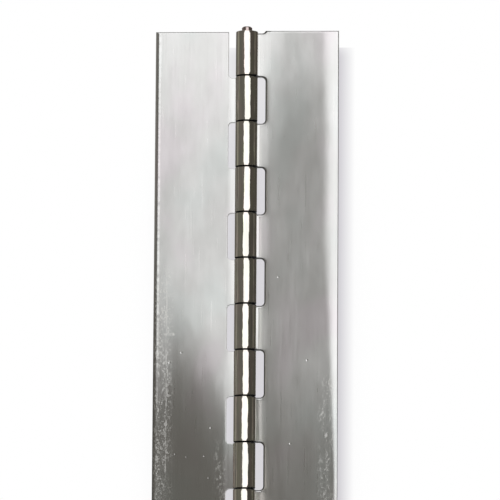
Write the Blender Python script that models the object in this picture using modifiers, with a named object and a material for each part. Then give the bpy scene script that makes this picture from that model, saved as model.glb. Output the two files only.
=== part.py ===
"""Piano hinge (continuous hinge): two sheet-steel leaves whose rolled knuckles interleave round one long pin.

Metres, +Z up along the pin. The hinge lies open flat with its barrel towards -Y, and the mounting faces look
towards +Y. The origin is on the pin's axis, half-way along it. Both leaves are one stamping: the moving leaf is
the fixed leaf turned half a turn about Y, which puts its knuckles in the fixed leaf's notches.
"""

import math

import bmesh
import bpy

INCH = 0.0254
MM = 0.001

# Driving dimensions
OPEN_WIDTH = 2 * INCH
KNUCKLE_PITCH = INCH / 2
KNUCKLE_COUNT = 24  # on both leaves together, so the barrel is 12 inches long
SHEET_THICKNESS = 0.060 * INCH
PIN_DIAMETER = 2.9 * MM
PIN_CLEARANCE = 0.06 * MM  # between the pin's radius and the bore's
KNUCKLE_GAP = 0.25 * MM  # between one knuckle's end and the next one's
NOTCH_EDGE = 5.1 * MM  # from the pin's axis to the straight edge of a notch
NOTCH_CORNER_RADIUS = 1.1 * MM
OVERHANG_AT_KNUCKLE = 0.75 * MM  # how far a leaf's end stands past the barrel, where the end knuckle is its own
OVERHANG_AT_NOTCH = 0.45 * MM  # the same where the end knuckle is the other leaf's
CURL_END_GAP = 0.25 * MM  # between a knuckle's rolled-in end and its own leaf
PIN_PROTRUSION = 1.45 * MM  # past the end knuckle, at both ends
PIN_CHAMFER = 0.35 * MM

# How finely round shapes are divided
CURL_STEPS = 28
CORNER_STEPS = 6
PIN_SIDES = 36

# Sizes that follow from them
BORE_RADIUS = PIN_DIAMETER / 2 + PIN_CLEARANCE
BARREL_RADIUS = BORE_RADIUS + SHEET_THICKNESS
BARREL_TOP = KNUCKLE_PITCH * KNUCKLE_COUNT / 2 - KNUCKLE_GAP / 2
LEAF_TOP = BARREL_TOP + OVERHANG_AT_KNUCKLE
LEAF_BOTTOM = -BARREL_TOP - OVERHANG_AT_NOTCH
PIN_LENGTH = 2 * (BARREL_TOP + PIN_PROTRUSION)
# A knuckle is rolled from the back of the barrel round to where its outer corner stops short of its own leaf.
CURL_ANGLE = math.radians(270) + math.asin((BORE_RADIUS - CURL_END_GAP) / BARREL_RADIUS)

STEEL_COLOUR = (0.62, 0.61, 0.59, 1.0)
PIN_COLOUR = (0.55, 0.53, 0.51, 1.0)


def clear_scene():
    for obj in list(bpy.data.objects):
        bpy.data.objects.remove(obj)


def make_material(name, colour, roughness):
    material = bpy.data.materials.new(name)
    material.use_nodes = True
    shader = material.node_tree.nodes["Principled BSDF"]
    shader.inputs["Base Color"].default_value = colour
    shader.inputs["Metallic"].default_value = 1.0
    shader.inputs["Roughness"].default_value = roughness
    return material


def knuckle_span(index):
    """The heights of the top and bottom ends of one knuckle. Knuckle 0 is at the top of the barrel."""
    cell_top = KNUCKLE_PITCH * (KNUCKLE_COUNT / 2 - index)
    return cell_top - KNUCKLE_GAP / 2, cell_top - KNUCKLE_PITCH + KNUCKLE_GAP / 2


def notch_corner(edge_z, side, turn=math.radians(90)):
    """Points (x, z) round a notch's corner, from the knuckle's edge at height edge_z to the notch's straight edge.
    side is 1 where the notch lies above the knuckle and -1 where it lies below."""
    centre_x = NOTCH_EDGE - NOTCH_CORNER_RADIUS
    points = []
    for step in range(CORNER_STEPS + 1):
        angle = turn * step / CORNER_STEPS
        rise = NOTCH_CORNER_RADIUS * (1 - math.cos(angle))
        points.append((centre_x + NOTCH_CORNER_RADIUS * math.sin(angle), edge_z + side * rise))
    return points


def leaf_outline():
    """The flat part of a leaf as (x, z) points: its free edge, then its notched edge from top to bottom. The
    knuckle tabs end at x = 0, behind the pin. The leaf was cut to length through the notch above the top tab."""
    outline = [(OPEN_WIDTH / 2, LEAF_BOTTOM), (OPEN_WIDTH / 2, LEAF_TOP)]
    cut_turn = math.acos(1 - OVERHANG_AT_KNUCKLE / NOTCH_CORNER_RADIUS)
    for index in range(0, KNUCKLE_COUNT, 2):
        top, bottom = knuckle_span(index)
        upper_turn = cut_turn if index == 0 else math.radians(90)
        outline += reversed(notch_corner(top, 1, upper_turn))
        outline += [(0, top), (0, bottom)]
        outline += notch_corner(bottom, -1)
    outline.append((NOTCH_EDGE, LEAF_BOTTOM))
    return outline


def make_leaf_mesh(name):
    """The outer surface of a leaf: the flat plate, with each tab's end rolled round the pin's axis."""
    sheet = bmesh.new()
    corners = [sheet.verts.new((x, BARREL_RADIUS, z)) for x, z in leaf_outline()]
    plate = sheet.faces.new(corners)
    tab_ends = [edge for edge in sheet.edges if all(vert.co.x == 0 for vert in edge.verts)]
    bmesh.ops.spin(
        sheet, geom=tab_ends, cent=(0, 0, 0), axis=(0, 0, 1), angle=CURL_ANGLE, steps=CURL_STEPS
    )
    bmesh.ops.recalc_face_normals(sheet, faces=sheet.faces)
    if plate.normal.y < 0:
        bmesh.ops.reverse_faces(sheet, faces=sheet.faces)
    mesh = bpy.data.meshes.new(name)
    sheet.to_mesh(mesh)
    sheet.free()
    mesh.shade_smooth()
    mesh.set_sharp_from_angle(angle=math.radians(30))
    return mesh


def add_leaf(name, mesh, collection):
    """A leaf with the sheet's thickness laid on the inside of its outer surface."""
    leaf = bpy.data.objects.new(name, mesh)
    collection.objects.link(leaf)
    thicken = leaf.modifiers.new("sheet thickness", "SOLIDIFY")
    thicken.thickness = SHEET_THICKNESS
    thicken.offset = -1
    thicken.use_even_offset = True
    return leaf


def add_pin(name, material, collection):
    """The pin, chamfered at both ends."""
    bpy.ops.mesh.primitive_cylinder_add(vertices=PIN_SIDES, radius=PIN_DIAMETER / 2, depth=PIN_LENGTH)
    pin = bpy.context.object
    pin.name = name
    for holder in list(pin.users_collection):
        holder.objects.unlink(pin)
    collection.objects.link(pin)
    pin.data.materials.append(material)
    pin.data.shade_smooth()
    pin.data.set_sharp_from_angle(angle=math.radians(30))
    chamfer = pin.modifiers.new("end chamfers", "BEVEL")
    chamfer.width = PIN_CHAMFER
    chamfer.segments = 1
    chamfer.limit_method = "ANGLE"
    chamfer.angle_limit = math.radians(60)
    return pin


def main():
    clear_scene()
    hinge = bpy.data.collections.new("piano_hinge")
    bpy.context.scene.collection.children.link(hinge)

    leaf_mesh = make_leaf_mesh("leaf stamping")
    leaf_mesh.materials.append(make_material("leaf steel", STEEL_COLOUR, 0.3))
    add_leaf("fixed_leaf", leaf_mesh, hinge)
    moving_leaf = add_leaf("moving_leaf", leaf_mesh, hinge)
    moving_leaf.rotation_euler = (0, math.pi, 0)

    add_pin("hinge_pin", make_material("pin steel", PIN_COLOUR, 0.2), hinge)


main()
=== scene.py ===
"""Looks of the piano hinge: finely rolled leaves, a chamfered pin, and bright mill-finish steel.

Metres, in the CAD model's frame: +Z up along the pin, the barrel proud towards -Y, the fixed leaf towards +X.
Inside the materials, lengths are millimetres, and a lean is how far a unit normal is moved towards +X.
"""

import math

import bmesh
import bpy
from mathutils import Matrix, Vector


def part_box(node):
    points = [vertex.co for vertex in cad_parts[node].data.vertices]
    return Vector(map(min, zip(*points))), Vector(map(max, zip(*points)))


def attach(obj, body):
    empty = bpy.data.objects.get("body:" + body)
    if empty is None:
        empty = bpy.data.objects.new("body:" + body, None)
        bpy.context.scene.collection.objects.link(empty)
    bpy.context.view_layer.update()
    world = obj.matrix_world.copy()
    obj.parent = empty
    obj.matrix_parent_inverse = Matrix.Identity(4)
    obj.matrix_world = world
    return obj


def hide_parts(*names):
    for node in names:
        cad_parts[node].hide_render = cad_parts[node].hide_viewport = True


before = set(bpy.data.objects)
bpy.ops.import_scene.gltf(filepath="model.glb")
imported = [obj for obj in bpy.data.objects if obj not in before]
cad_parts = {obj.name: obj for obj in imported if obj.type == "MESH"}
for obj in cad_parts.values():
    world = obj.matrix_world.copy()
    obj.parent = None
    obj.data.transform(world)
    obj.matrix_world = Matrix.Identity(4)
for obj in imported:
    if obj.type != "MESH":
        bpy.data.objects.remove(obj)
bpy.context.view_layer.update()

MM = 0.001
PER_MM = (1 / MM, 1 / MM, 1 / MM)

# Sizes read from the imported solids
leaf_low, leaf_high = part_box("fixed_leaf")
pin_low, pin_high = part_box("hinge_pin")
HALF_WIDTH = leaf_high.x
BARREL_RADIUS = leaf_high.y
LEAF_TOP = leaf_high.z
LEAF_BOTTOM = leaf_low.z
PIN_RADIUS = pin_high.x
PIN_TOP = pin_high.z
FLOOR_HEIGHT = pin_low.z

# Sizes of the stamping and the pin, as in the CAD model
KNUCKLE_PITCH = 12.7 * MM
KNUCKLE_COUNT = 24
KNUCKLE_GAP = 0.25 * MM
SHEET_THICKNESS = 1.524 * MM
NOTCH_EDGE = 5.1 * MM
NOTCH_CORNER_RADIUS = 1.1 * MM
CURL_END_GAP = 0.25 * MM
PIN_CHAMFER = 0.35 * MM
BORE_RADIUS = BARREL_RADIUS - SHEET_THICKNESS
BARREL_TOP = KNUCKLE_PITCH * KNUCKLE_COUNT / 2 - KNUCKLE_GAP / 2
CURL_ANGLE = math.radians(270) + math.asin((BORE_RADIUS - CURL_END_GAP) / BARREL_RADIUS)

# How far edges are eased, and how finely round shapes are divided
TAB_SPLIT = 2.0 * MM  # where a tab passes behind the barrel, and its edges change their rounding
KNUCKLE_END_ROUND = 0.16 * MM
LEAF_END_ROUND = 0.60 * MM
FIXED_NOTCH_ROUND = 0.70 * MM
FIXED_FREE_ROUND = 0.30 * MM
MOVING_NOTCH_ROUND = 0.20 * MM
MOVING_FREE_ROUND = 1.04 * MM
BACK_EDGE_ROUND = 0.10 * MM
WIDEST_ROUND = 1.04 * MM
PIN_EDGE_ROUND = 0.08 * MM
SHARP_LEAF_FOLD = math.radians(40)  # edges that fold more than this are eased
SHARP_PIN_FOLD = math.radians(25)
EDGE_SEGMENTS = 5
CURL_STEPS = 72
CORNER_STEPS = 10
PIN_SIDES = 72
PIN_EDGE_SEGMENTS = 3

# The camera: where it stands, which way it looks in degrees, and its focal length and picture's width in mm
CAMERA_PLACE = Vector((52.5, -1199.0, -85.5)) * MM
CAMERA_RISE = 8.38
CAMERA_TURN = -2.45
CAMERA_ROLL = 0.37
CAMERA_LENS = 317.7
CAMERA_PICTURE = 36

# The stage, and which way the open sky lies from each of its two papers
FLOOR_RADIUS = 3.0
FLOOR_SIDES = 96
FLOOR_DROP = 0.2 * MM  # below the pin's lower end
FLOOR_SKY = (0, 0, 1)
BACKDROP_DISTANCE = 30 * MM
BACKDROP_WIDTH = 0.3
BACKDROP_SKY = (-0.55, -0.8, -0.2)
SKY_REACH = 80 * MM  # how far off something can still shade a paper
SKY_SAMPLES = 24

# Wear on the leaves' front faces at rest, in millimetres: where it starts and ends across (x) and up (z)
SCUFFED_LEFT = (((-24.5, -21.5), (26, 82)), ((-7.0, -6.8), (25, 35)))
SCUFFED_RIGHT = (((21.8, 23.2), (24, 54)),)
SCRATCH_ACROSS = -21.7
SCRATCH_HEIGHTS = (30, 84)
SMEAR = ((-22.2, -19.6), (67.9, 68.4))
DENTS_LEFT = (
    (-9.8, 28.5), (-19.0, 35.0), (-9.3, 42.3), (-15.9, 34.3), (-11.0, 34.5), (-17.5, 63.0), (-20.8, 60.2)
)
DENTS_RIGHT = ((12.5, 38.0), (17.0, 61.0), (9.0, 84.0))
DENT_RADIUS = 0.34

# Relief, in millimetres
DENT_DEPTH = 0.08
KNUCKLE_UNEVENNESS = 0.20
LEAF_GRAIN_HEIGHT = 0.0004
PIN_GRAIN_HEIGHT = 0.0006

# Leans: of each leaf's barrel, of the sheets' waves, where the moving leaf falls away most, and where the
# fixed leaf is slackest
FIXED_ROLL_LEAN = 0.02
MOVING_ROLL_LEAN = -0.05
WAVE_LEAN = 0.05
FALL_LEAN = -0.38
SLACK_LEAN = -0.10

# Colours and roughness of the steel
SHEET_DARK = (0.61, 0.61, 0.60, 1)
SHEET_LIGHT = (0.70, 0.70, 0.695, 1)
SHEET_PINKISH = (0.67, 0.64, 0.655, 1)
SHEET_GREENISH = (0.63, 0.65, 0.64, 1)
BARREL_DARK = (0.62, 0.60, 0.56, 1)
BARREL_OLIVE = (0.78, 0.78, 0.65, 1)
BARREL_BROWN = (0.84, 0.74, 0.70, 1)
RUBBED = (0.86, 0.86, 0.84, 1)
# Painted shade, nearly black, in the gaps between the knuckles
GAP_SHADE = (0.03, 0.03, 0.03, 1)
# Painted shade for the dark lines along eased edges
EDGE_SHADE = (0.08, 0.08, 0.08, 1)
PIN_DARK = (0.42, 0.33, 0.32, 1)
PIN_LIGHT = (0.58, 0.50, 0.48, 1)
# Painted shade on the pin where it runs inside the barrel
PIN_SHADED = (0.05, 0.045, 0.04, 1)
RUBBED_ROUGHNESS = 0.58
# Roughness of the painted shade in the knuckle gaps and on the pin inside the barrel
SHADED_ROUGHNESS = 0.60

# Colours of the stage and of the studio that the steel mirrors
WHITE = (1, 1, 1, 1)
FLOOR_SHADE = (0.62, 0.62, 0.64, 1)
BACKDROP_SHADE = (0.63, 0.615, 0.65, 1)
LEFT_FLATS = (0.160, 0.152, 0.135, 1)
RIGHT_FLATS = (0.083, 0.078, 0.067, 1)
REAR_WINDOW = (0.85, 0.85, 0.86, 1)
STUDIO_FLOOR = (0.32, 0.32, 0.32, 1)
STUDIO_CEILING = (0.16, 0.16, 0.16, 1)
PANEL_GAIN = 1.9  # how much paler a panel is than the flat it is in


class Graph:
    """Adds nodes to one node tree. A value may be a number, a vector or another node's output."""

    def __init__(self, tree):
        self.tree = tree
        tree.nodes.clear()

    def add(self, kind, **settings):
        node = self.tree.nodes.new(kind)
        for name, value in settings.items():
            setattr(node, name, value)
        return node

    def feed(self, socket, value):
        if isinstance(value, bpy.types.NodeSocket):
            self.tree.links.new(value, socket)
        else:
            socket.default_value = value

    def work_out(self, kind, values, **settings):
        """A new node's first output, with the values fed to its first inputs in their order."""
        node = self.add(kind, **settings)
        for socket, value in zip(node.inputs, values):
            self.feed(socket, value)
        return node.outputs[0]

    def math(self, operation, *values):
        return self.work_out("ShaderNodeMath", values, operation=operation)

    def in_turn(self, operation, values):
        """Takes the first value and the second, then the result and the third, and so on."""
        result = values[0]
        for value in values[1:]:
            result = self.math(operation, result, value)
        return result

    def total(self, *values):
        return self.in_turn("ADD", values)

    def product(self, *values):
        return self.in_turn("MULTIPLY", values)

    def highest(self, *values):
        return self.in_turn("MAXIMUM", values)

    def less(self, value, taken):
        return self.math("SUBTRACT", value, taken)

    def absolute(self, value):
        return self.math("ABSOLUTE", value)

    def distance(self, across, along):
        """The length of a step that goes across and along, at right angles."""
        return self.math("SQRT", self.total(self.product(across, across), self.product(along, along)))

    def vector_math(self, operation, *values):
        return self.work_out("ShaderNodeVectorMath", values, operation=operation)

    def scale(self, vector, factors):
        return self.vector_math("MULTIPLY", vector, factors)

    def split(self, vector):
        node = self.add("ShaderNodeSeparateXYZ")
        self.feed(node.inputs[0], vector)
        return node.outputs

    def join(self, x, y, z):
        return self.work_out("ShaderNodeCombineXYZ", (x, y, z))

    def smooth(self, value, start, end, low=0.0, high=1.0):
        """Goes smoothly from low, where value is start, to high, where it is end. start must be below end."""
        values = (value, start, end, low, high)
        return self.work_out("ShaderNodeMapRange", values, interpolation_type="SMOOTHSTEP")

    def spread(self, value, start, end, low=0.0, high=1.0):
        """The same, in a straight line and held at both ends."""
        return self.work_out("ShaderNodeMapRange", (value, start, end, low, high))

    def between(self, value, start, end, soft):
        """1 between start and end, falling smoothly to 0 over soft outside them."""
        rising = self.smooth(value, start - soft, start)
        falling = self.smooth(value, end, end + soft, 1.0, 0.0)
        return self.product(rising, falling)

    def noise(self, vector, scale, detail=2.0, roughness=0.5):
        node = self.add("ShaderNodeTexNoise")
        self.feed(node.inputs["Vector"], vector)
        self.feed(node.inputs["Scale"], scale)
        self.feed(node.inputs["Detail"], detail)
        self.feed(node.inputs["Roughness"], roughness)
        return node.outputs["Fac"]

    def pattern(self, place, upward, scale, detail=2.0, roughness=0.5):
        """Noise whose scale up the pin is multiplied by upward, so it is drawn out where that is below 1."""
        return self.noise(self.scale(place, (1.0, 1.0, upward)), scale, detail, roughness)

    def mix(self, factor, first, second):
        """A colour: the first where factor is 0, the second where it is 1."""
        node = self.add("ShaderNodeMix", data_type="RGBA")
        self.feed(node.inputs["Factor"], factor)
        self.feed(node.inputs[6], first)
        self.feed(node.inputs[7], second)
        return node.outputs[2]

    def fade(self, factor, first, second):
        """The same between two numbers."""
        node = self.add("ShaderNodeMix", data_type="FLOAT")
        self.feed(node.inputs[0], factor)
        self.feed(node.inputs[2], first)
        self.feed(node.inputs[3], second)
        return node.outputs[0]

    def choose(self, factor, first, second):
        """The same between two shaders."""
        return self.work_out("ShaderNodeMixShader", (factor, first, second))

    def end(self, kind, shader):
        """Makes the shader the whole tree's result, through an output node of this kind."""
        self.feed(self.add(kind).inputs["Surface"], shader)


# Shapes


def knuckle_span(index):
    """The heights of the top and bottom ends of one knuckle. Knuckle 0 is at the top of the barrel."""
    cell_top = KNUCKLE_PITCH * (KNUCKLE_COUNT / 2 - index)
    return cell_top - KNUCKLE_GAP / 2, cell_top - KNUCKLE_PITCH + KNUCKLE_GAP / 2


def notch_corner(edge_z, side, turn=math.radians(90)):
    """Points (x, z) round a notch's corner, from the knuckle's edge at height edge_z to the notch's straight
    edge. side is 1 where the notch lies above the knuckle and -1 where it lies below."""
    centre_x = NOTCH_EDGE - NOTCH_CORNER_RADIUS
    points = []
    for step in range(CORNER_STEPS + 1):
        angle = turn * step / CORNER_STEPS
        rise = NOTCH_CORNER_RADIUS * (1 - math.cos(angle))
        points.append((centre_x + NOTCH_CORNER_RADIUS * math.sin(angle), edge_z + side * rise))
    return points


def leaf_outline():
    """The flat part of a leaf as (x, z) points. Its knuckle tabs end behind the pin, at x = 0, and the leaf
    was cut to length through the notch above its top tab."""
    outline = [(HALF_WIDTH, LEAF_BOTTOM), (HALF_WIDTH, LEAF_TOP)]
    cut_turn = math.acos(1 - (LEAF_TOP - BARREL_TOP) / NOTCH_CORNER_RADIUS)
    for index in range(0, KNUCKLE_COUNT, 2):
        top, bottom = knuckle_span(index)
        upper_turn = cut_turn if index == 0 else math.radians(90)
        outline += reversed(notch_corner(top, 1, upper_turn))
        outline += [(TAB_SPLIT, top), (0, top), (0, bottom), (TAB_SPLIT, bottom)]
        outline += notch_corner(bottom, -1)
    outline.append((NOTCH_EDGE, LEAF_BOTTOM))
    return outline


def rolled_surface():
    """The outer surface of a leaf: the flat plate, with each tab's end rolled round the pin's axis."""
    sheet = bmesh.new()
    corners = [sheet.verts.new((x, BARREL_RADIUS, z)) for x, z in leaf_outline()]
    plate = sheet.faces.new(corners)
    tab_ends = [edge for edge in sheet.edges if all(vert.co.x == 0 for vert in edge.verts)]
    bmesh.ops.spin(
        sheet, geom=tab_ends, cent=(0, 0, 0), axis=(0, 0, 1), angle=CURL_ANGLE, steps=CURL_STEPS
    )
    bmesh.ops.recalc_face_normals(sheet, faces=sheet.faces)
    if plate.normal.y < 0:
        bmesh.ops.reverse_faces(sheet, faces=sheet.faces)
    mesh = bpy.data.meshes.new("rolled surface")
    sheet.to_mesh(mesh)
    sheet.free()
    return mesh


def new_object(name, mesh):
    obj = bpy.data.objects.new(name, mesh)
    bpy.context.scene.collection.objects.link(obj)
    return obj


def keep_flats_flat(obj):
    """Lets the shading turn only on eased edges and round shapes."""
    level = obj.modifiers.new("flat faces stay flat", "WEIGHTED_NORMAL")
    level.weight = 100


def applied(obj, name):
    """The object's mesh with its modifiers applied. The object is removed."""
    graph = bpy.context.evaluated_depsgraph_get()
    mesh = bpy.data.meshes.new_from_object(obj.evaluated_get(graph))
    mesh.name = name
    bpy.data.objects.remove(obj)
    return mesh


def edge_rounding(edge, notch_round, free_round):
    """How far one sharp edge of a leaf is eased. Edges that run on in a line or a curve get one value."""
    near = 0.02 * MM
    ends = [vert.co for vert in edge.verts]
    radii = [math.hypot(point.x, point.y) for point in ends]
    behind_barrel = all(point.x < TAB_SPLIT + near for point in ends)
    on_front = all(abs(point.y - BORE_RADIUS) < near and point.x > -near for point in ends)
    if on_front and not behind_barrel:
        if all(point.x > HALF_WIDTH - near for point in ends):
            return free_round
        if all(min(abs(point.z - LEAF_TOP), abs(point.z - LEAF_BOTTOM)) < near for point in ends):
            return LEAF_END_ROUND
        return notch_round
    runs_round = abs(ends[0].z - ends[1].z) < near
    if runs_round and behind_barrel and all(radius > BARREL_RADIUS - near for radius in radii):
        return KNUCKLE_END_ROUND
    return BACK_EDGE_ROUND


def make_leaf_mesh(name, notch_round, free_round):
    """A leaf with the sheet's thickness and eased edges."""
    leaf = new_object("leaf blank", rolled_surface())
    thicken = leaf.modifiers.new("sheet thickness", "SOLIDIFY")
    thicken.thickness = SHEET_THICKNESS
    thicken.offset = -1
    thicken.use_even_offset = True
    mesh = applied(leaf, name)

    shape = bmesh.new()
    shape.from_mesh(mesh)
    weight = shape.edges.layers.float.new("bevel_weight_edge")
    for edge in shape.edges:
        if edge.calc_face_angle(0) > SHARP_LEAF_FOLD:
            edge[weight] = edge_rounding(edge, notch_round, free_round) / WIDEST_ROUND
    shape.to_mesh(mesh)
    shape.free()
    mesh.shade_smooth()

    leaf = new_object("leaf blank", mesh)
    ease = leaf.modifiers.new("eased edges", "BEVEL")
    ease.limit_method = "WEIGHT"
    ease.width = WIDEST_ROUND
    ease.segments = EDGE_SEGMENTS
    ease.use_clamp_overlap = False
    keep_flats_flat(leaf)
    return applied(leaf, name)


def add_leaf(name, node, body, mesh, material):
    leaf = new_object(name, mesh)
    mesh.materials.clear()
    mesh.materials.append(material)
    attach(leaf, body)
    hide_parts(node)


def add_pin(material):
    """The pin, turned from its profile, with its chamfers' edges eased."""
    face = PIN_RADIUS - PIN_CHAMFER
    shoulder = PIN_TOP - PIN_CHAMFER
    profile = [(face, PIN_TOP), (PIN_RADIUS, shoulder), (PIN_RADIUS, -shoulder), (face, -PIN_TOP)]
    shape = bmesh.new()
    rings = []
    for radius, height in profile:
        ring = bmesh.ops.create_circle(shape, segments=PIN_SIDES, radius=radius)["verts"]
        bmesh.ops.translate(shape, verts=ring, vec=(0, 0, height))
        rings.append(ring)
    for upper, lower in zip(rings, rings[1:]):
        for index in range(PIN_SIDES):
            after = (index + 1) % PIN_SIDES
            shape.faces.new((upper[index], lower[index], lower[after], upper[after]))
    shape.faces.new(rings[0])
    shape.faces.new(reversed(rings[-1]))
    bmesh.ops.recalc_face_normals(shape, faces=shape.faces)
    mesh = bpy.data.meshes.new("hinge pin")
    shape.to_mesh(mesh)
    shape.free()
    mesh.shade_smooth()
    mesh.materials.append(material)

    pin = new_object("pin", mesh)
    ease = pin.modifiers.new("eased edges", "BEVEL")
    ease.width = PIN_EDGE_ROUND
    ease.segments = PIN_EDGE_SEGMENTS
    ease.angle_limit = SHARP_PIN_FOLD
    keep_flats_flat(pin)
    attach(pin, "fixed_side")
    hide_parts("hinge_pin")


# Materials


def new_material(name):
    material = bpy.data.materials.new(name)
    material.use_nodes = True
    return material, Graph(material.node_tree)


def object_point(graph):
    """A point's place in its object's own space, in millimetres, and the surface's normal there."""
    coordinates = graph.add("ShaderNodeTexCoord")
    return graph.scale(coordinates.outputs["Object"], PER_MM), coordinates.outputs["Normal"]


def tilted(graph, normal, lean, relief):
    """The shading normal: the surface's own, leaned towards the piece's +X, with fine relief."""
    to_world = graph.add(
        "ShaderNodeVectorTransform", vector_type="NORMAL", convert_from="OBJECT", convert_to="WORLD"
    )
    graph.feed(to_world.inputs[0], graph.vector_math("ADD", normal, graph.join(lean, 0.0, 0.0)))
    bump = graph.add("ShaderNodeBump")
    graph.feed(bump.inputs["Strength"], 1.0)
    graph.feed(bump.inputs["Distance"], MM)
    graph.feed(bump.inputs["Height"], relief)
    graph.feed(bump.inputs["Normal"], to_world.outputs[0])
    return bump.outputs[0]


def steel(graph, colour, roughness, normal):
    shader = graph.add("ShaderNodeBsdfPrincipled")
    graph.feed(shader.inputs["Base Color"], colour)
    graph.feed(shader.inputs["Metallic"], 1.0)
    graph.feed(shader.inputs["Roughness"], roughness)
    graph.feed(shader.inputs["Normal"], normal)
    graph.end("ShaderNodeOutputMaterial", shader.outputs[0])


class LeafPoint:
    """A point of a leaf's surface: where it is and which way it faces. flat, curled and front are 1 on that
    part of the leaf, and 0 off it."""

    def __init__(self, graph, place, normal):
        self.graph = graph
        self.place = place
        self.x, y, self.z = graph.split(place)
        self.facing_x, self.facing_y, self.facing_z = graph.split(normal)
        barrel = BARREL_RADIUS / MM
        self.flat = graph.smooth(graph.distance(self.x, y), barrel + 0.03, barrel + 0.25)
        self.curled = graph.less(1.0, self.flat)
        self.front = graph.product(self.flat, graph.smooth(self.facing_y, -0.9, -0.6, 1.0, 0.0))
        self.to_knuckle_end = graph.math("PINGPONG", self.z, KNUCKLE_PITCH / MM / 2)


def clean_colour(leaf):
    """Cloudy and faintly tinted sheet, and knuckles streaked olive and brown."""
    graph = leaf.graph
    clouds = graph.pattern(leaf.place, 0.45, 0.09, 4.0, 0.55)
    tints = graph.pattern(leaf.place, 0.6, 0.06)
    sheet = graph.mix(graph.spread(clouds, 0.3, 0.7), SHEET_DARK, SHEET_LIGHT)
    sheet = graph.mix(graph.smooth(tints, 0.50, 0.68), sheet, SHEET_PINKISH)
    sheet = graph.mix(graph.smooth(tints, 0.32, 0.50, 1.0, 0.0), sheet, SHEET_GREENISH)
    oiling = graph.pattern(leaf.place, 0.25, 0.5)
    streaks = graph.pattern(leaf.place, 0.05, 1.6, 3.0, 0.6)
    oiled = graph.mix(graph.smooth(oiling, 0.38, 0.62), BARREL_OLIVE, BARREL_BROWN)
    barrel = graph.mix(graph.spread(streaks, 0.35, 0.65), BARREL_DARK, oiled)
    return graph.mix(leaf.flat, barrel, sheet)


def knuckle_gap_shade(leaf):
    """Painted shade on the knuckles' ends in the gaps and on the barrel beside them, less at its own two
    ends.
    """
    graph = leaf.graph
    on_ends = graph.smooth(graph.absolute(leaf.facing_z), 0.04, 0.35)
    near_gap = graph.smooth(leaf.to_knuckle_end, 0.25, 0.60, 1.0, 0.0)
    beside_gap = graph.product(graph.smooth(leaf.facing_x, 0.45, 0.70), near_gap)
    barrel_end = BARREL_TOP / MM
    # The barrel's two outer ends are open, so they get less of the painted shade
    less_at_barrel_ends = graph.smooth(graph.absolute(leaf.z), barrel_end - 0.6, barrel_end - 0.1, 1.0, 0.25)
    return graph.product(leaf.curled, less_at_barrel_ends, graph.highest(on_ends, beside_gap))


def edge_shade_lines(leaf):
    """Painted shade: dark lines on eased edges, round the fixed leaf's notches, and along the moving leaf's
    free edge, where they fade out towards its top. x is above 0 on the fixed leaf, and below 0 on the moving
    one."""
    graph = leaf.graph
    notches = graph.product(graph.between(leaf.x, 2, 6, 1), 0.9)
    at_free_edge = graph.smooth(leaf.x, -24.2, -23.6, 1.0, 0.0)
    free_edge = graph.product(at_free_edge, graph.spread(leaf.z, 55, 110, 0.65, 0.0))
    eased = graph.product(leaf.flat, graph.between(leaf.facing_y, -0.86, -0.35, 0.13))
    return graph.product(graph.highest(notches, free_edge), eased)


def scuffs(leaf, areas):
    """Patchy rubbing inside some areas: 0 where the sheet is clean, 1 where it is most worn."""
    graph = leaf.graph
    inside = 0.0
    for (left, right), (low, high) in areas:
        area = graph.product(graph.between(leaf.x, left, right, 2.5), graph.between(leaf.z, low, high, 6))
        inside = graph.highest(inside, area)
    patches = graph.smooth(graph.pattern(leaf.place, 0.35, 0.5), 0.34, 0.58)
    specks = graph.smooth(graph.pattern(leaf.place, 0.5, 2.4, 3.0, 0.7), 0.52, 0.59)
    return graph.product(inside, patches, specks)


def scratches(leaf):
    """One long faint scratch up a leaf, which wanders and comes and goes, and a short smear across it."""
    graph = leaf.graph
    wander = graph.product(graph.less(graph.noise(leaf.place, 0.05), 0.5), 0.5)
    away = graph.absolute(graph.less(graph.total(leaf.x, wander), SCRATCH_ACROSS))
    line = graph.smooth(away, 0.08, 0.30, 1.0, 0.0)
    along = graph.between(leaf.z, *SCRATCH_HEIGHTS, 4)
    fading = graph.smooth(graph.noise(graph.join(0, 0, leaf.z), 0.11), 0.35, 0.55)
    smear = graph.product(graph.between(leaf.x, *SMEAR[0], 0.4), graph.between(leaf.z, *SMEAR[1], 0.2))
    broken = graph.smooth(graph.pattern(leaf.place, 0.5, 1.8, 3.0, 0.7), 0.35, 0.60)
    return graph.product(graph.highest(graph.product(line, along, fading), smear), broken)


def dents(leaf, places):
    """Small round dents: 1 at the middle of each, 0 outside them."""
    graph = leaf.graph
    deepest = 0.0
    for across, height in places:
        away = graph.distance(graph.less(leaf.x, across), graph.less(leaf.z, height))
        deepest = graph.highest(deepest, graph.smooth(away, 0.0, DENT_RADIUS, 1.0, 0.0))
    return deepest


def leaf_lean(leaf, bow, roll_lean):
    """The sheet's lean, from its bow and slight waves, and the knuckles' own. That shifts their highlight,
    tapers it towards each knuckle's ends, and turns the barrel's sides back to the front."""
    graph = leaf.graph
    waves = graph.less(graph.pattern(leaf.place, 0.4, 0.30, 3.0, 0.6), 0.5)
    level = graph.smooth(graph.absolute(leaf.facing_z), 0.0, 0.3, 1.0, 0.0)
    sheet = graph.total(bow(graph, leaf.x, leaf.z), graph.product(waves, WAVE_LEAN))
    off_centre = graph.absolute(leaf.facing_x)
    near_end = graph.smooth(leaf.to_knuckle_end, 0.1, 1.1, 0.5, 0.0)
    crowning = graph.product(near_end, graph.smooth(off_centre, 0.3, 0.55, 1.0, 0.0))
    flattening = graph.smooth(off_centre, 0.72, 0.95, 0.0, 0.75)
    knuckles = graph.total(graph.product(leaf.facing_x, graph.less(crowning, flattening)), roll_lean)
    return graph.total(graph.product(sheet, leaf.flat, level), graph.product(leaf.curled, knuckles))


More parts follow.
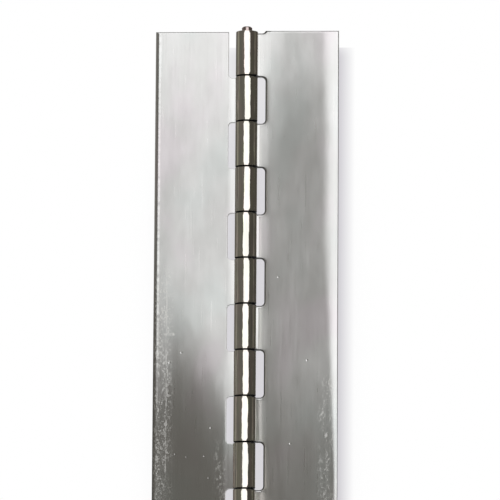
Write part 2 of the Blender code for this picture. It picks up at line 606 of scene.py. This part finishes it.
def leaf_steel(name, bow, roll_lean, scuffed, scratched, dented):
    """Mill-finish sheet, burnished where it was rolled into knuckles, with the wear of its front face.
    bow(graph, x, z) is the sheet's lean, and roll_lean the barrel's."""
    material, graph = new_material(name)
    place, normal = object_point(graph)
    leaf = LeafPoint(graph, place, normal)
    grain = graph.pattern(place, 0.02, 2.6, 3.0, 0.6)
    gap_shade = knuckle_gap_shade(leaf)
    worn = scuffs(leaf, scuffed)
    if scratched:
        worn = graph.highest(worn, scratches(leaf))
    worn = graph.product(worn, leaf.front)

    # Painted shade in the knuckle gaps
    colour = graph.mix(gap_shade, clean_colour(leaf), GAP_SHADE)
    # Painted shade along the eased edges
    colour = graph.mix(edge_shade_lines(leaf), colour, EDGE_SHADE)
    colour = graph.mix(worn, colour, RUBBED)

    burnished = graph.spread(grain, 0.3, 0.7, 0.07, 0.13)
    mill_finish = graph.spread(grain, 0.3, 0.7, 0.27, 0.34)
    roughness = graph.fade(leaf.flat, burnished, mill_finish)
    roughness = graph.fade(worn, roughness, RUBBED_ROUGHNESS)
    roughness = graph.fade(gap_shade, roughness, SHADED_ROUGHNESS)

    sunk = graph.product(dents(leaf, dented), leaf.front, -DENT_DEPTH)
    uneven = graph.product(graph.pattern(place, 0.8, 0.22), leaf.curled, KNUCKLE_UNEVENNESS)
    relief = graph.total(graph.product(grain, LEAF_GRAIN_HEIGHT), sunk, uneven)
    steel(graph, colour, roughness, tilted(graph, normal, leaf_lean(leaf, bow, roll_lean), relief))
    return material


def moving_bow(graph, x, z):
    """The moving leaf's lean: least at its top, a little more towards its free edge, and falling away below
    a slanting front. Along the beaded free edge and beside the barrel it turns back."""
    base = graph.smooth(z, 105, 165, -0.154, -0.103)
    toward_edge = graph.product(graph.smooth(x, -25, -12, 1.0, 0.0), graph.smooth(z, 80, 125, -0.010, -0.002))

    slant = graph.total(graph.spread(x, -25, -15, -8, 0), graph.spread(x, -15, -5, 0, 13))
    below_front = graph.math("POWER", graph.spread(graph.total(z, slant), 36, 82, 1.0, 0.0), 2.0)
    above_foot = graph.smooth(z, -90, -10)
    off_notches = graph.smooth(x, -6.2, -5.3, 1.0, 0.5)
    off_free_edge = graph.smooth(x, -23.5, -17.5, 0.50, 1.0)
    falling = graph.product(below_front, above_foot, off_notches, off_free_edge, FALL_LEAN)

    beads = graph.spread(graph.noise(graph.join(0, 0, z), 0.8), 0.35, 0.60, 0.0, 0.08)
    beading = graph.product(graph.between(x, -24.3, -24.0, 0.3), beads)
    beside_barrel = graph.product(graph.smooth(x, -5.4, -2.4), graph.spread(z, 30, 140, 0.02, 0.17))
    return graph.total(base, toward_edge, falling, beading, beside_barrel)


def fixed_bow(graph, x, z):
    """The fixed leaf's lean: least at its top, and slack in the middle of its height. Its free edge and the
    strip beside the barrel turn back. Its inner part turns with height, and its notched edge leans one way
    beside a notch and the other way beside a tab."""
    base = graph.smooth(z, 116, 165, -0.240, -0.168)
    slack = graph.product(graph.between(z, -20, 15, 47), SLACK_LEAN)
    edge_start = graph.total(graph.spread(z, 30, 60, 24.0, 22.6), graph.spread(z, 60, 95, 0.0, -2.4))
    free_edge = graph.product(graph.smooth(x, edge_start, 24.9), graph.spread(z, 30, 90, 0.18, 0.145))
    rows = graph.math("SINE", graph.product(z, math.pi * MM / KNUCKLE_PITCH))
    row_lean = graph.smooth(rows, -0.4, 0.4, 0.03, -0.05)
    beside_row = graph.product(graph.smooth(x, 5.2, 6.9, 1.0, 0.0), row_lean)
    inner = graph.product(graph.smooth(x, 5.5, 12, 1.0, 0.0), graph.spread(z, 27, 151, -0.045, 0.05))
    beside_barrel = graph.product(graph.smooth(x, 3.1, 3.8, 1.0, 0.0), graph.spread(z, 45, 75, 0.08, 0.38))
    return graph.total(base, slack, free_edge, beside_row, inner, beside_barrel)


def pin_steel():
    """Bright at both ends, and dark with painted shade inside the barrel."""
    material, graph = new_material("pin steel")
    place, normal = object_point(graph)
    height = graph.absolute(graph.split(place)[2])
    outside = graph.smooth(height, BARREL_TOP / MM, BARREL_TOP / MM + 0.3)
    grain = graph.pattern(place, 0.03, 3.0, 3.0, 0.6)
    # Inside the barrel the pin's colour is painted shade
    colour = graph.mix(outside, PIN_SHADED, graph.mix(grain, PIN_DARK, PIN_LIGHT))
    roughness = graph.fade(outside, SHADED_ROUGHNESS, graph.spread(grain, 0.3, 0.7, 0.12, 0.2))
    relief = graph.product(grain, PIN_GRAIN_HEIGHT)
    steel(graph, colour, roughness, tilted(graph, normal, 0.0, relief))
    return material


# Stage


def white_paper(name, shade, toward, closed, open_sky, shadow=None):
    """Plain white that greys softly where the hinge stands between it and the sky, which lies toward one
    side. It is seen from its front only. closed and open_sky are how much of the sky a point sees where it is
    fully shaded and fully white. shadow(graph) adds a still shadow, about 1 where it is deepest."""
    material, graph = new_material(name)
    sky = graph.add("ShaderNodeAmbientOcclusion", samples=SKY_SAMPLES)
    graph.feed(sky.inputs["Distance"], SKY_REACH)
    graph.feed(sky.inputs["Normal"], toward)
    openness = graph.smooth(sky.outputs["AO"], closed, open_sky)
    if shadow:
        openness = graph.math("MINIMUM", openness, graph.less(1.0, shadow(graph)))
    glow = graph.add("ShaderNodeEmission")
    graph.feed(glow.inputs["Color"], graph.mix(openness, shade, WHITE))
    clear = graph.add("ShaderNodeBsdfTransparent")
    behind = graph.add("ShaderNodeNewGeometry").outputs["Backfacing"]
    graph.end("ShaderNodeOutputMaterial", graph.choose(behind, glow.outputs[0], clear.outputs[0]))
    return material


def leaf_shadow(graph):
    """The soft shadow of the barrel and the fixed leaf on the backdrop behind them, deeper behind the leaf.
    It fades out just past the leaf's free edge and ends."""
    place = graph.scale(graph.add("ShaderNodeNewGeometry").outputs["Position"], PER_MM)
    x, _, z = graph.split(place)
    depth = graph.total(graph.smooth(x, -12, -4, 0.0, 0.6), graph.smooth(x, 6, 16, 0.0, 0.45))
    across = graph.spread(x, 24.6, 29.4, 1.0, 0.0)
    upward = graph.product(graph.smooth(z, -152, -135), graph.smooth(z, 150.5, 157.5, 1.0, 0.0))
    return graph.product(depth, across, upward)


def add_paper(obj, name, material):
    """Names obj and gives it its paper. The hinge neither mirrors it nor is lit by it."""
    obj.name = name
    obj.data.materials.append(material)
    obj.visible_glossy = False
    obj.visible_diffuse = False
    obj.visible_transmission = False
    obj.visible_shadow = False


def add_stage():
    """A round floor under the pin, and a backdrop that stays clear of the leaf when it swings behind."""
    below_pin = (0, 0, FLOOR_HEIGHT - FLOOR_DROP)
    bpy.ops.mesh.primitive_circle_add(
        vertices=FLOOR_SIDES, radius=FLOOR_RADIUS, fill_type="NGON", location=below_pin
    )
    paper = white_paper("floor paper", FLOOR_SHADE, FLOOR_SKY, 0.3, 0.95)
    add_paper(bpy.context.object, "floor", paper)

    behind_pin = (0, BACKDROP_DISTANCE, 0)
    bpy.ops.mesh.primitive_plane_add(size=1.0, location=behind_pin, rotation=(math.radians(90), 0, 0))
    backdrop = bpy.context.object
    backdrop.scale = (BACKDROP_WIDTH, 2 * PIN_TOP, 1.0)
    paper = white_paper("backdrop paper", BACKDROP_SHADE, BACKDROP_SKY, 0.30, 0.66, leaf_shadow)
    add_paper(backdrop, "backdrop", paper)


def studio_world():
    """A white room to the camera. What the steel mirrors is a tall soft box over the camera, dimmer at its
    foot, dark flats on both sides with a paler panel in each, a window behind, a dark ceiling and a grey
    floor."""
    world = bpy.data.worlds.new("studio")
    bpy.context.scene.world = world
    world.use_nodes = True
    graph = Graph(world.node_tree)
    x, y, z = graph.split(graph.add("ShaderNodeTexCoord").outputs["Generated"])
    turn = graph.math("ARCTAN2", x, graph.product(y, -1.0))
    side = graph.absolute(turn)
    rise = graph.math("ARCSINE", z)

    def from_angle(value, start, end, low=0.0, high=1.0):
        return graph.smooth(value, math.radians(start), math.radians(end), low, high)

    def between(value, start, end, soft):
        return graph.between(value, math.radians(start), math.radians(end), math.radians(soft))

    room = graph.mix(from_angle(turn, -5, 15), LEFT_FLATS, RIGHT_FLATS)
    paler = graph.scale(room, (PANEL_GAIN, PANEL_GAIN, PANEL_GAIN))
    room = graph.mix(between(side, 94, 112, 10), room, paler)
    room = graph.mix(from_angle(side, 146, 156), room, REAR_WINDOW)
    room = graph.mix(from_angle(rise, -60, -32, 1.0, 0.0), room, STUDIO_FLOOR)
    room = graph.mix(from_angle(rise, 72, 86), room, STUDIO_CEILING)
    soft_box = graph.product(between(turn, -21, 35, 3), between(rise, -26, 62, 8))
    glow = from_angle(rise, -13, -4, 0.9, 1.6)
    room = graph.mix(soft_box, room, graph.join(glow, glow, glow))

    seen = graph.add("ShaderNodeBackground")
    graph.feed(seen.inputs["Color"], WHITE)
    mirrored = graph.add("ShaderNodeBackground")
    graph.feed(mirrored.inputs["Color"], room)
    to_camera = graph.add("ShaderNodeLightPath").outputs["Is Camera Ray"]
    graph.end("ShaderNodeOutputWorld", graph.choose(to_camera, mirrored.outputs[0], seen.outputs[0]))


def add_camera():
    rise, turn, roll = (math.radians(angle) for angle in (CAMERA_RISE, CAMERA_TURN, CAMERA_ROLL))
    ahead = Vector((math.sin(turn) * math.cos(rise), math.cos(turn) * math.cos(rise), math.sin(rise)))
    level_right = Vector((math.cos(turn), -math.sin(turn), 0))
    level_up = level_right.cross(ahead)
    right = level_right * math.cos(roll) + level_up * math.sin(roll)
    up = right.cross(ahead)
    turned = Matrix((right, up, -ahead)).transposed().to_4x4()

    data = bpy.data.cameras.new("camera")
    data.lens = CAMERA_LENS
    data.sensor_width = CAMERA_PICTURE
    data.clip_start = 0.01
    camera = bpy.data.objects.new("camera", data)
    bpy.context.scene.collection.objects.link(camera)
    camera.matrix_world = Matrix.Translation(CAMERA_PLACE) @ turned
    bpy.context.scene.camera = camera


def main():
    bpy.context.scene.view_settings.view_transform = "Standard"
    studio_world()
    add_stage()
    add_camera()

    fixed_mesh = make_leaf_mesh("fixed leaf", FIXED_NOTCH_ROUND, FIXED_FREE_ROUND)
    moving_mesh = make_leaf_mesh("moving leaf", MOVING_NOTCH_ROUND, MOVING_FREE_ROUND)
    moving_mesh.transform(Matrix.Rotation(math.pi, 4, "Y"))
    fixed_steel = leaf_steel(
        "fixed leaf steel", fixed_bow, FIXED_ROLL_LEAN, SCUFFED_RIGHT, False, DENTS_RIGHT
    )
    moving_steel = leaf_steel(
        "moving leaf steel", moving_bow, MOVING_ROLL_LEAN, SCUFFED_LEFT, True, DENTS_LEFT
    )
    add_leaf("leaf_right", "fixed_leaf", "fixed_side", fixed_mesh, fixed_steel)
    add_leaf("leaf_left", "moving_leaf", "moving_side", moving_mesh, moving_steel)
    add_pin(pin_steel())


main()
